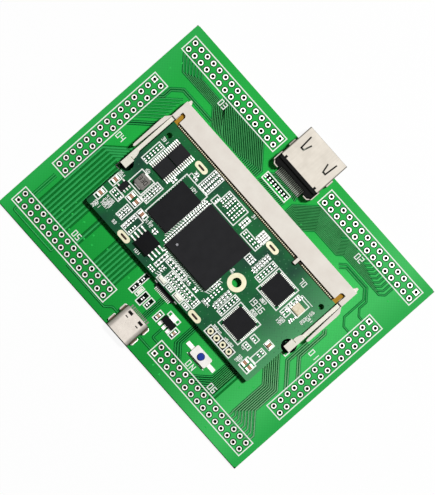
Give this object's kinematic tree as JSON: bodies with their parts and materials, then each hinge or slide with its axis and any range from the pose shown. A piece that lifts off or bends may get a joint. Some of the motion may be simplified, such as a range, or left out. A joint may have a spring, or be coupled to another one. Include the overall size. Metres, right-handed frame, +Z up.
{
  "type": "fpga development board",
  "caption": "Green carrier board with unfilled pin-header fields, a video port, a power port and a press switch, holding a dark green logic module in a latched edge socket.",
  "frame": {"origin": "on the carrier's underside, at the middle of the six header fields", "axes": "+X along the carrier's long side towards the right-hand header field, +Y towards the video port, +Z up out of the side with the parts"},
  "size_m": [0.0994, 0.079, 0.0073],
  "materials": {
    "carrier_mask": "green solder mask over copper on fibreglass board",
    "module_mask": "dark green solder mask over copper on fibreglass board",
    "tin": "hot-air levelled solder",
    "gold": "immersion gold over nickel",
    "print": "screen-printed white ink",
    "track": "solder mask over a copper track",
    "shell_steel": "nickel-plated stamped sheet",
    "black_moulding": "glass-filled black moulding compound",
    "ivory_moulding": "unpainted ivory moulding",
    "white_moulding": "unpainted white moulding",
    "blue_moulding": "dyed blue moulding",
    "substrate": "dark laminate edge",
    "chip_black": "moulded epoxy, fine grain",
    "ferrite": "pressed grey ferrite powder",
    "ceramic_tan": "fired brown ceramic",
    "ceramic_dark": "fired ceramic with dark glaze",
    "ceramic_cream": "cream ceramic package",
    "lamp_white": "milky white lamp lens"
  },
  "bodies": {
    "board": {"carrier_board": "carrier_mask", "header_pads_rear_left": "tin", "header_pads_rear_right": "tin", "header_pads_left": "tin", "header_pads_right": "tin", "header_pads_front_left": "tin", "header_pads_front_right": "tin", "carrier_print": "print", "carrier_tracks": "track", "video_port_shell": "shell_steel", "video_port_block": "black_moulding", "video_port_contacts": "gold", "power_port_shell": "shell_steel", "power_port_tongue": "black_moulding", "power_port_contacts": "gold", "regulator_body": "chip_black", "regulator_leads": "tin", "controller_body": "chip_black", "controller_leads": "tin", "carrier_capacitors": "ceramic_tan", "carrier_resistors": "ceramic_dark", "carrier_part_ends": "tin", "switch_base": "white_moulding", "switch_cover": "white_moulding", "switch_dome": "shell_steel", "switch_legs": "tin", "socket_housing": "ivory_moulding", "socket_contacts_upper": "gold", "socket_contacts_lower": "gold", "module_board": "module_mask", "module_plated_holes": "tin", "edge_contacts_top": "gold", "edge_contacts_bottom": "gold", "main_chip_substrate": "substrate", "main_chip_cap": "chip_black", "memory_substrate": "substrate", "memory_cap": "chip_black", "chip_solder_balls": "tin", "flash_body": "chip_black", "flash_leads": "tin", "buffer_bodies": "chip_black", "buffer_leads": "tin", "interface_bodies": "chip_black", "interface_lands": "tin", "inductor_core": "ferrite", "inductor_ends": "tin", "converter_body": "chip_black", "converter_leads": "tin", "oscillator_base": "ceramic_tan", "oscillator_lid": "ceramic_cream", "module_capacitors": "ceramic_tan", "module_resistors": "ceramic_dark", "module_part_ends": "tin", "indicator_lamps": "lamp_white", "module_print": "print"},
    "button": {"switch_button": "blue_moulding"},
    "left_latch": {"latch_left": "ivory_moulding"},
    "right_latch": {"latch_right": "ivory_moulding"}
  },
  "joints": [
    {"name": "button_press", "type": "slide", "parent": "board", "child": "button", "axis": [0, 0, -1], "range_m": [0, 0.00025], "stiffness_N_per_m": 3000},
    {"name": "left_latch_spread", "type": "hinge", "parent": "board", "child": "left_latch", "pos_m": [-0.03472, 0.0155, 0.0034], "axis": [0, 0, -1], "range_deg": [0, 2], "stiffness_Nm_per_rad": 1.5},
    {"name": "right_latch_spread", "type": "hinge", "parent": "board", "child": "right_latch", "pos_m": [0.03472, 0.0155, 0.0034], "axis": [0, 0, 1], "range_deg": [0, 2], "stiffness_Nm_per_rad": 1.5}
  ]
}
